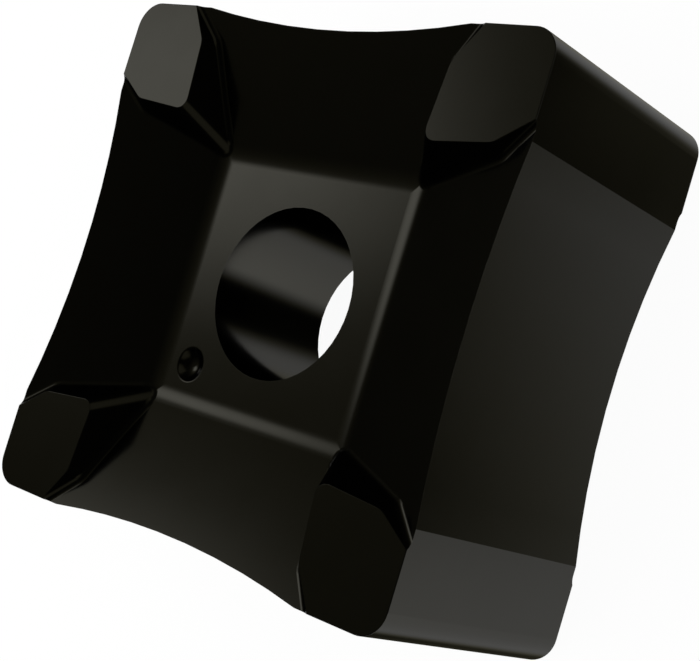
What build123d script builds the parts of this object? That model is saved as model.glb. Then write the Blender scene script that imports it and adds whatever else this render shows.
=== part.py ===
from build123d import *
import math
import os

# A double-sided square milling insert, pressed and sintered in one piece.
# It stands on the four pads of its lower face, with the bore along +Z.
# The origin is the middle of the underside, and the sides face X and Y.
# Lengths are in millimetres and angles in degrees.

# Block
side_length = 12.70        # over the flat bands of two opposite sides
thickness = 6.52           # over the pads of both faces
corner_radius = 0.65       # cutting corners, seen from above
band_length = 2.36         # flat band beside each corner, from where the sides would meet
side_hollow = 0.33         # how far the middle of a side lies behind its flat bands

# Bore for the clamping screw, straight through
bore_diameter = 4.14

# Dished recess of each face, with depths measured from the pads
floor_depth = 1.26         # level floor
edge_depth = 0.10          # where the slopes come out at the flat bands
slope_run = 3.30           # from a side in to where its slope would meet the floor
floor_blend = 1.40         # radius between the slopes and the floor

# Corner pads, measured at their flat top from where the sides would meet
pad_inner_reach = 2.66     # inner corner, from both sides
pad_ear_inset = 0.88       # how far in from a side a pad is widest along it
pad_long_wall_angle = 4.9  # a wall between there and the inner corner, off square to that side
pad_short_wall_angle = 34.0  # a wall between there and the cutting edge, off square to that side
pad_ear_radius = 0.45
pad_inner_radius = 0.34
pad_wall_lean = 29.0       # lean of the walls from upright
pad_foot_radius = 0.18     # blend between the walls and the dish
pad_rim_radius = 0.02      # honed edge round the flat top

# Index dimple, on the diagonal between the bore and one pad
dimple_width = 0.82
dimple_depth = 0.20
dimple_rim_radius = 0.08
dimple_shift = 0.11        # how much nearer to the bore it is than midway to the floor's corner

pad_ear_reach = pad_inner_reach - (pad_inner_reach - pad_ear_inset) * math.tan(
    math.radians(pad_long_wall_angle)
)
pad_edge = pad_ear_reach - pad_ear_inset * math.tan(math.radians(pad_short_wall_angle))
half_side = side_length / 2
bore_radius = bore_diameter / 2
floor_half = half_side - slope_run
floor_level = thickness - floor_depth
quarter_turns = [Rotation(0, 0, angle) for angle in (0, 90, 180, 270)]

# Cutting shapes reach past the block, so that none of their faces lies in one of its own
overrun = 0.3
touching = 0.001           # points nearer together than this are in one place
slope_fall = (floor_depth - edge_depth) / slope_run
slope_top = floor_level + slope_fall * (slope_run + overrun)
roof_level = slope_top + overrun


def block():
    """Square with flat bands beside its corners and a shallow hollow along each side."""
    band_end = half_side - band_length
    side_points = (
        Pos(half_side, -half_side),
        Pos(half_side, -band_end),
        Pos(half_side - side_hollow, 0),
        Pos(half_side, band_end),
        Pos(half_side, half_side),
    )
    outline = []
    for turn in quarter_turns:
        first, band_stop, middle, band_start, last = [
            (turn * point).position for point in side_points
        ]
        outline.append(Line(first, band_stop))
        outline.append(ThreePointArc(band_stop, middle, band_start))
        outline.append(Line(band_start, last))
    square = make_face(outline)
    corners = square.vertices().sort_by(lambda vertex: math.hypot(vertex.X, vertex.Y))[-4:]
    return extrude(fillet(corners, corner_radius), thickness)


def dish():
    """Cutting shape of a recess without its pads: two crossed valleys with a level floor."""
    reach = half_side + overrun
    section = make_face(
        Polyline(
            (-floor_half, floor_level),
            (floor_half, floor_level),
            (reach, slope_top),
            (reach, roof_level),
            (-reach, roof_level),
            (-reach, slope_top),
            close=True,
        )
    )
    valley = extrude(Plane.XZ * section, reach, both=True)
    crossed = valley & (quarter_turns[1] * valley)
    floor = crossed.faces().sort_by(Axis.Z).first
    return fillet(floor.edges(), floor_blend)


def rising_edges(solid):
    """Edges that aren't level, the ones nearest to the bore first."""
    rising = [edge for edge in solid.edges() if abs((edge % 0.5).Z) > 0.1]
    return ShapeList(rising).sort_by_distance((0, 0, thickness))


def pad():
    """The pad at +X +Y, from below the floor to above the roof of the dish."""
    outside = -2 * overrun
    outside_edge = pad_edge + outside * (pad_ear_reach - pad_edge) / pad_ear_inset
    from_corner = (
        (outside, outside),
        (outside_edge, outside),
        (pad_ear_reach, pad_ear_inset),
        (pad_inner_reach, pad_inner_reach),
        (pad_ear_inset, pad_ear_reach),
        (outside, outside_edge),
    )
    kite = make_face(Polyline([(half_side - x, half_side - y) for x, y in from_corner], close=True))
    base = floor_level - overrun
    upright = extrude(Plane.XY.offset(base) * kite, roof_level + overrun - base)
    upright_faces = upright.faces().filter_by(Axis.Z, reverse=True)
    inner_walls = upright_faces.sort_by_distance((0, 0, thickness))[:4]
    leaning = draft(inner_walls, Plane.XY.offset(thickness), pad_wall_lean)
    inner_corner, first_ear, second_ear = rising_edges(leaning)[:3]
    leaning = fillet([first_ear, second_ear], pad_ear_radius)
    inner_corner = rising_edges(leaning).first
    return fillet(inner_corner, pad_inner_radius)


def is_foot(edge):
    """Edge where a pad meets the dish: off the middle lines, out of the valleys, below the roof."""
    start, middle, end = edge @ 0, edge @ 0.5, edge @ 1
    beside_a_pad = min(abs(middle.X), abs(middle.Y)) > floor_half / 2
    in_a_valley = all(abs(abs(point.X) - abs(point.Y)) < touching for point in (start, middle, end))
    below_the_roof = max(start.Z, end.Z) < roof_level - overrun / 2
    return beside_a_pad and below_the_roof and not in_a_valley


def dimple():
    """Cutting shape of the index dimple, round about its own axis, with its rim rounded over."""
    rim = (dimple_width / 2, floor_level)
    bottom = (0, floor_level - dimple_depth)
    reach = dimple_width / 2 + 2 * dimple_rim_radius
    above = floor_level + overrun
    bowl = TangentArc(bottom, rim, tangent=(1, 0))
    cover = Polyline(rim, (reach, floor_level), (reach, above), (0, above), bottom)
    section = make_face([bowl, cover])
    rim_corner = section.vertices().sort_by_distance(rim).first
    section = fillet(rim_corner, dimple_rim_radius)
    midway = (bore_radius + floor_half * math.sqrt(2)) / 2
    place = Rotation(0, 0, 225) * Pos(midway - dimple_shift, 0, 0)
    return place * revolve(Plane.XZ * section, Axis.Z)


def recess():
    """Cutting shape of the recess in the upper face, with its pads and dimple left in it."""
    corner_pad = pad()
    hollow = dish()
    for turn in quarter_turns:
        hollow -= turn * corner_pad
    return fillet(hollow.edges().filter_by(is_foot), pad_foot_radius) + dimple()


def insert():
    """The block with the same recess in both faces, bored and honed."""
    upper_recess = recess()
    turn_over = Pos(0, 0, thickness) * Rotation(180, 0, 0)
    bore = extrude(Circle(bore_radius), thickness)
    body = block() - upper_recess - turn_over * upper_recess - bore
    level_faces = body.faces().filter_by(Axis.Z).sort_by(Axis.Z)
    pad_tops = level_faces[:4] + level_faces[-4:]
    return fillet(pad_tops.edges(), pad_rim_radius)


os.makedirs("parts", exist_ok=True)
export_step(insert(), "parts/insert_body.step")
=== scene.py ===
import math

import bpy
from mathutils import Matrix, Vector


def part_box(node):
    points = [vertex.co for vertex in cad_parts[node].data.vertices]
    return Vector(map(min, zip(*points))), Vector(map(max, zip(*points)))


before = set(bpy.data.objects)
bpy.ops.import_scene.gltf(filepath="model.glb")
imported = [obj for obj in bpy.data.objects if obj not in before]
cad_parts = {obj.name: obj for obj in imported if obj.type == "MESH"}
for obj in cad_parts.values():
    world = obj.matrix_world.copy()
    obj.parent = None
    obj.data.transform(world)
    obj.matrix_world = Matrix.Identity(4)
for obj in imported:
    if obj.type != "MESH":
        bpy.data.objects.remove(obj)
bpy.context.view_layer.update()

MM = 0.001
LOWEST_CORNER, HIGHEST_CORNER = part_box("insert_body")
MIDDLE = (LOWEST_CORNER + HIGHEST_CORNER) / 2
WHITE = (1, 1, 1, 1)

# Camera, fitted to the outlines and edges of the insert in the photograph
CAMERA_PLACE = Vector((23.64, -2.34, 30.72)) * MM
CAMERA_TURN = [math.radians(angle) for angle in (18.08, 40.20, 22.63)]
CAMERA_LENS = 77.48
CAMERA_SHIFT = (0.1259, -0.0237)

# Coating. Patches are the scale of a noise, about as many as lie along a metre, and its detail.
# A spread is the stretch of the noise over which what it varies goes from one end to the other
COATING_DARK = (0.0430, 0.0420, 0.0362, 1)
COATING_LIGHT = (0.0470, 0.0460, 0.0402, 1)
COATING_PATCHES = (300, 3)
COATING_ROUGHNESS = (0.14, 0.16)
ROUGHNESS_PATCHES = (900, 4)
ROUGHNESS_SPREAD = (0.3, 0.7)
WORN_COLOUR = (0.085, 0.083, 0.076, 1)
WORN_PATCHES = (2500, 4)
WORN_SPREAD = (0.35, 0.65)
WORN_SHARE = (0.25, 0.7)   # least and most of the coating's colour that is gone from an edge
WORN_ROUGHNESS = 0.12      # added to the coating's where it is all worn
WORN_RADIUS = 0.035 * MM   # reach of the wear on each side of an edge
WORN_BEND = (0.99, 0.86)   # cosines of the bend where the wear begins and where it is full
GRAIN_PATCHES = (16000, 2)
GRAIN_DEPTH = 0.004 * MM
GRAIN_STRENGTH = 0.05

# Floor, and how much of what the camera sees of it is its own white glow
FLOOR_HALF_WIDTH = 600 * MM
FLOOR_COLOUR = (0.9, 0.9, 0.9, 1)
FLOOR_GLOW_SHARE = 0.95

# Softbox that the upper face mirrors, measured from the middle of the insert.
# A turn is in degrees round from +X, and a rise in degrees up from the floor
SOFTBOX_TURN = 166.9
SOFTBOX_RISE = 39.6
SOFTBOX_ROLL = 30.8
SOFTBOX_DISTANCE = 175 * MM
SOFTBOX_HALF_WIDTH = 19.8 * MM
SOFTBOX_HALF_HEIGHT = 31.3 * MM
SOFTBOX_SIDE_EDGE = 12.1 * MM  # how far its brightness fades, inwards and outwards
SOFTBOX_TOP_EDGE = 19.8 * MM
SOFTBOX_GLOW = 1.1

# Hazes round the softbox: turn, rise and reach in degrees, and glow in the middle
SOFTBOX_HAZES = ((168.5, 46.4, 50.3, 0.095), (162.0, 39.6, 22.5, 0.145))

# Lamp that casts the insert's faint shadow
LAMP_TURN = 215
LAMP_RISE = 60
LAMP_DISTANCE = 150 * MM
LAMP_WIDTH = 100 * MM
LAMP_POWER = 0.08

# Level of the plain light all round, and of the backdrop that the camera sees
ROOM_LEVEL = 0.85
BACKDROP_LEVEL = 0.99

# Two dim walls on the camera's side of the insert, by the parts of a unit vector towards them.
# Each pair here and below holds where something begins to show and where it is full
WALL_FOOT = (0.34, 0.52)
WALL_TOP = (0.93, 0.75)
WALL_GAP = (0.1, 0.4)
WALL_BACK = (-0.2, 0.2)
WALL_GLOW = 0.15
DARK_GLOW = 0.003          # of the dark surroundings

# Two soft panels that gloss shows in place of the floor. They are laid out on level ground one unit
# below the insert, with ahead along +X and aside along +Y, which is to the left
RIGHT_PANEL_SLANT = 0.4    # how far its side runs towards -Y for each unit ahead
RIGHT_PANEL_SIDE = (0.49, 0.09)
RIGHT_PANEL_END = (-0.28, 0.18)
LEFT_PANEL_SIDE = (0.05, 0.45)
LEFT_PANEL_END = (0.56, 0.16)

# Their glow, each as a stretch and the levels at its two ends
RIGHT_GLOW_AHEAD = (-0.2, 1.0, 0.29, 0.71)
LEFT_GLOW_AHEAD = (-0.97, 0.08, 0.0, 1.0)
LEFT_GLOW_ASIDE = (0.3, 1.0, 0.17, 0.36)

# The same by the downward part of a unit vector: the panels' glow, where it fades out towards the
# horizon, and a screen all round between the panels and the horizon
PANEL_GLOW_DOWN = (0.68, 1.0, 1.85, 0.57)
PANEL_HORIZON = (0.15, 0.5)
SCREEN_TOP = (0.1, 0.35)
SCREEN_FOOT = (0.65, 0.48)
SCREEN_GLOW = 0.75
SHALLOWEST = 0.05          # least downward part, which keeps the ground's places finite

# Faint glow of the ground itself, which is a little stronger towards the left
GROUND_DOWN = (0.76, 0.82)
GROUND_GLOW_ASIDE = (0.2, 0.32, 0.035, 0.115)

# Warm cast of the dim parts of the studio, which the bright panels don't have, and the glows
# between which it comes in
DIM_CAST = (1, 0.94, 0.60, 1)
DIM_GLOW = (0.45, 0.02)


def direction(turn, rise):
    """Unit vector towards a place round the insert, in degrees from +X and up from the floor."""
    turn, rise = math.radians(turn), math.radians(rise)
    return Vector((math.cos(turn) * math.cos(rise), math.sin(turn) * math.cos(rise), math.sin(rise)))


def add_node(tree, kind, inputs, **options):
    """Add a node, set its options, and fill its inputs with plain values or other nodes' outputs."""
    node = tree.nodes.new(kind)
    for option, choice in options.items():
        setattr(node, option, choice)
    for name, value in inputs.items():
        if isinstance(value, bpy.types.NodeSocket):
            tree.links.new(value, node.inputs[name])
        else:
            node.inputs[name].default_value = value
    return node


def calculate(tree, operation, *values):
    """Output of a Math node."""
    return add_node(tree, "ShaderNodeMath", dict(enumerate(values)), operation=operation).outputs[0]


def multiply(tree, first, *others):
    """Product of two or more numbers."""
    for other in others:
        first = calculate(tree, "MULTIPLY", first, other)
    return first


def dot_product(tree, first, second):
    """Cosine of the angle between two unit vectors."""
    pair = {0: first, 1: second}
    return add_node(tree, "ShaderNodeVectorMath", pair, operation="DOT_PRODUCT").outputs["Value"]


def blend_colours(tree, share, first, second):
    """Colour that goes from the first to the second while share goes from 0 to 1."""
    colours = {0: share, 6: first, 7: second}
    return add_node(tree, "ShaderNodeMix", colours, data_type="RGBA").outputs[2]


def fade(tree, value, low, high, at_low=0.0, at_high=1.0, smooth=True):
    """A number that changes from at_low to at_high while value goes from low to high."""
    steps = {"Value": value, "From Min": low, "From Max": high, "To Min": at_low, "To Max": at_high}
    shape = "SMOOTHSTEP" if smooth else "LINEAR"
    return add_node(tree, "ShaderNodeMapRange", steps, interpolation_type=shape).outputs[0]


def bare_material(name):
    """A new material and its node tree, with no nodes in it."""
    material = bpy.data.materials.new(name)
    material.use_nodes = True
    material.node_tree.nodes.clear()
    return material, material.node_tree


def coated_carbide():
    """Near-black coating: smooth, semi-gloss and slightly olive, with faintly worn edges."""
    material = bpy.data.materials.new("coated_carbide")
    material.use_nodes = True
    tree = material.node_tree
    place = add_node(tree, "ShaderNodeTexCoord", {}).outputs["Object"]

    def mottle(patches, detail):
        steps = {"Vector": place, "Scale": patches, "Detail": detail}
        return add_node(tree, "ShaderNodeTexNoise", steps).outputs["Fac"]

    tone = blend_colours(tree, mottle(*COATING_PATCHES), COATING_DARK, COATING_LIGHT)
    rounded = add_node(tree, "ShaderNodeBevel", {"Radius": WORN_RADIUS}).outputs[0]
    facing = add_node(tree, "ShaderNodeNewGeometry", {}).outputs["Normal"]
    edge = fade(tree, dot_product(tree, rounded, facing), *WORN_BEND)
    wear = multiply(tree, edge, fade(tree, mottle(*WORN_PATCHES), *WORN_SPREAD, *WORN_SHARE))
    sheen = fade(tree, mottle(*ROUGHNESS_PATCHES), *ROUGHNESS_SPREAD, *COATING_ROUGHNESS)
    roughness = calculate(tree, "MULTIPLY_ADD", wear, WORN_ROUGHNESS, sheen)
    relief = {"Height": mottle(*GRAIN_PATCHES), "Strength": GRAIN_STRENGTH, "Distance": GRAIN_DEPTH}
    grain = add_node(tree, "ShaderNodeBump", relief).outputs[0]
    shader = tree.nodes["Principled BSDF"]
    shader.inputs["Metallic"].default_value = 1
    tree.links.new(blend_colours(tree, wear, tone, WORN_COLOUR), shader.inputs["Base Color"])
    tree.links.new(roughness, shader.inputs["Roughness"])
    tree.links.new(grain, shader.inputs["Normal"])
    return material


def pale_stage():
    """Pale surface that the camera sees as near-white and that keeps the insert's shadow."""
    material, tree = bare_material("pale_stage")
    seen = add_node(tree, "ShaderNodeLightPath", {}).outputs["Is Camera Ray"]
    matte = add_node(tree, "ShaderNodeBsdfDiffuse", {"Color": FLOOR_COLOUR}).outputs[0]
    glow = add_node(tree, "ShaderNodeEmission", {"Strength": 1.0}).outputs[0]
    shares = {0: multiply(tree, seen, FLOOR_GLOW_SHARE), 1: matte, 2: glow}
    both = add_node(tree, "ShaderNodeMixShader", shares).outputs[0]
    add_node(tree, "ShaderNodeOutputMaterial", {"Surface": both})
    return material


def softbox_cloth():
    """Light cloth, bright in the middle and fading towards its edges, with the haze behind it."""
    material, tree = bare_material("softbox_cloth")
    place = add_node(tree, "ShaderNodeTexCoord", {}).outputs["Object"]
    parts = add_node(tree, "ShaderNodeSeparateXYZ", {0: place}).outputs
    sides = (("X", SOFTBOX_HALF_WIDTH, SOFTBOX_SIDE_EDGE), ("Y", SOFTBOX_HALF_HEIGHT, SOFTBOX_TOP_EDGE))
    glow = SOFTBOX_GLOW
    for axis, half, edge in sides:
        out = calculate(tree, "ABSOLUTE", parts[axis])
        glow = multiply(tree, fade(tree, out, half - edge, half + edge, 1.0, 0.0), glow)
    light = add_node(tree, "ShaderNodeEmission", {"Strength": glow}).outputs[0]
    haze_behind = add_node(tree, "ShaderNodeBsdfTransparent", {}).outputs[0]
    both = add_node(tree, "ShaderNodeAddShader", {0: light, 1: haze_behind}).outputs[0]
    add_node(tree, "ShaderNodeOutputMaterial", {"Surface": both})
    return material


def add_plate(name, half_width, half_height, material):
    """Flat rectangle round its own middle, facing +Z."""
    mesh = bpy.data.meshes.new(name)
    corners = [(x * half_width, y * half_height, 0) for x, y in ((-1, -1), (1, -1), (1, 1), (-1, 1))]
    mesh.from_pydata(corners, [], [(0, 1, 2, 3)])
    mesh.materials.append(material)
    plate = bpy.data.objects.new(name, mesh)
    bpy.context.scene.collection.objects.link(plate)
    return plate


def add_floor():
    """Plain floor under the insert. Gloss shows the studio's soft panels in its place."""
    floor = add_plate("studio_floor", FLOOR_HALF_WIDTH, FLOOR_HALF_WIDTH, pale_stage())
    floor.visible_glossy = False


def add_softbox():
    """Softbox across from the camera. Only gloss shows it."""
    half_width = SOFTBOX_HALF_WIDTH + SOFTBOX_SIDE_EDGE
    softbox = add_plate("softbox", half_width, SOFTBOX_HALF_HEIGHT + SOFTBOX_TOP_EDGE, softbox_cloth())
    away = direction(SOFTBOX_TURN, SOFTBOX_RISE)
    across = Vector((0, 0, 1)).cross(away).normalized()
    upright = away.cross(across)
    roll = math.radians(SOFTBOX_ROLL)
    right = across * math.cos(roll) + upright * math.sin(roll)
    top = upright * math.cos(roll) - across * math.sin(roll)
    turn = Matrix((right, top, away)).transposed()
    softbox.matrix_world = Matrix.LocRotScale(MIDDLE + away * SOFTBOX_DISTANCE, turn, None)
    softbox.visible_camera = False
    softbox.visible_diffuse = False
    softbox.visible_shadow = False


def add_lamp():
    """Large soft lamp that casts the insert's faint shadow on the floor."""
    light = bpy.data.lights.new("fill_lamp", "AREA")
    light.shape = "DISK"
    light.size = LAMP_WIDTH
    light.energy = LAMP_POWER
    lamp = bpy.data.objects.new("fill_lamp", light)
    lamp.location = MIDDLE + direction(LAMP_TURN, LAMP_RISE) * LAMP_DISTANCE
    lamp.rotation_euler = (MIDDLE - lamp.location).to_track_quat("-Z", "Y").to_euler()
    lamp.visible_glossy = False
    bpy.context.scene.collection.objects.link(lamp)


def glow_above(tree, place, x, y, z):
    """Glow that gloss shows above the horizon: dark surroundings, the dim walls and the hazes."""
    band = multiply(tree, fade(tree, z, *WALL_FOOT), fade(tree, z, *WALL_TOP))
    beside = fade(tree, calculate(tree, "ABSOLUTE", y), *WALL_GAP)
    walls = multiply(tree, band, beside, fade(tree, x, *WALL_BACK))
    glow = calculate(tree, "MULTIPLY_ADD", walls, WALL_GLOW, DARK_GLOW)
    for turn, rise, reach, strength in SOFTBOX_HAZES:
        off = calculate(tree, "ARCCOSINE", dot_product(tree, place, direction(turn, rise)))
        glow = calculate(tree, "ADD", fade(tree, off, 0.0, math.radians(reach), strength, 0.0), glow)
    return glow


def glow_below(tree, x, y, z):
    """Glow that gloss shows below the horizon, in place of the floor: the panels and the screen."""
    down = calculate(tree, "MAXIMUM", multiply(tree, z, -1.0), SHALLOWEST)
    ahead = calculate(tree, "DIVIDE", x, down)
    aside = calculate(tree, "DIVIDE", y, down)
    slanted = calculate(tree, "MULTIPLY_ADD", ahead, RIGHT_PANEL_SLANT, aside)
    right = multiply(
        tree,
        fade(tree, slanted, *RIGHT_PANEL_SIDE),
        fade(tree, ahead, *RIGHT_PANEL_END),
        fade(tree, ahead, *RIGHT_GLOW_AHEAD, smooth=False),
    )
    left = multiply(
        tree,
        fade(tree, aside, *LEFT_PANEL_SIDE),
        fade(tree, ahead, *LEFT_PANEL_END),
        fade(tree, ahead, *LEFT_GLOW_AHEAD, smooth=False),
        fade(tree, aside, *LEFT_GLOW_ASIDE, smooth=False),
    )
    glow = multiply(
        tree,
        calculate(tree, "ADD", right, left),
        fade(tree, down, *PANEL_GLOW_DOWN, smooth=False),
        fade(tree, down, *PANEL_HORIZON),
    )
    screen = multiply(tree, fade(tree, down, *SCREEN_TOP), fade(tree, down, *SCREEN_FOOT))
    glow = calculate(tree, "MULTIPLY_ADD", screen, SCREEN_GLOW, glow)
    ground = multiply(tree, fade(tree, down, *GROUND_DOWN), fade(tree, aside, *GROUND_GLOW_ASIDE))
    return calculate(tree, "ADD", ground, glow)


def add_world():
    """Plain soft light all round. Gloss shows dark surroundings with soft panels instead."""
    world = bpy.data.worlds.new("studio")
    bpy.context.scene.world = world
    world.use_nodes = True
    tree = world.node_tree
    place = add_node(tree, "ShaderNodeTexCoord", {}).outputs["Generated"]
    x, y, z = add_node(tree, "ShaderNodeSeparateXYZ", {0: place}).outputs
    above = calculate(tree, "GREATER_THAN", z, 0.0)
    levels = {0: above, 2: glow_below(tree, x, y, z), 3: glow_above(tree, place, x, y, z)}
    glow = add_node(tree, "ShaderNodeMix", levels).outputs[0]

    # A second reflection, as inside the bore, stays dark
    path = add_node(tree, "ShaderNodeLightPath", {}).outputs
    in_gloss = path["Is Glossy Ray"]
    first = calculate(tree, "LESS_THAN", path["Glossy Depth"], 1.5)
    shown = multiply(tree, glow, first, in_gloss)
    elsewhere = calculate(tree, "SUBTRACT", 1.0, in_gloss)
    backdrop_lift = BACKDROP_LEVEL - ROOM_LEVEL
    plain = calculate(tree, "MULTIPLY_ADD", path["Is Camera Ray"], backdrop_lift, ROOM_LEVEL)
    dim = multiply(tree, fade(tree, glow, *DIM_GLOW), in_gloss)
    background = tree.nodes["Background"].inputs
    tree.links.new(blend_colours(tree, dim, WHITE, DIM_CAST), background["Color"])
    level = calculate(tree, "MULTIPLY_ADD", elsewhere, plain, shown)
    tree.links.new(level, background["Strength"])


def add_camera():
    """Camera at the photograph's viewing angle and framing."""
    camera = bpy.data.cameras.new("camera")
    camera.lens = CAMERA_LENS
    camera.shift_x, camera.shift_y = CAMERA_SHIFT
    camera.clip_start = MM
    view = bpy.data.objects.new("camera", camera)
    view.location = CAMERA_PLACE
    view.rotation_euler = CAMERA_TURN
    bpy.context.scene.collection.objects.link(view)
    bpy.context.scene.camera = view


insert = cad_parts["insert_body"]
insert.data.materials.clear()
insert.data.materials.append(coated_carbide())

add_floor()
add_softbox()
add_lamp()
add_world()
add_camera()
bpy.context.scene.view_settings.view_transform = "Standard"
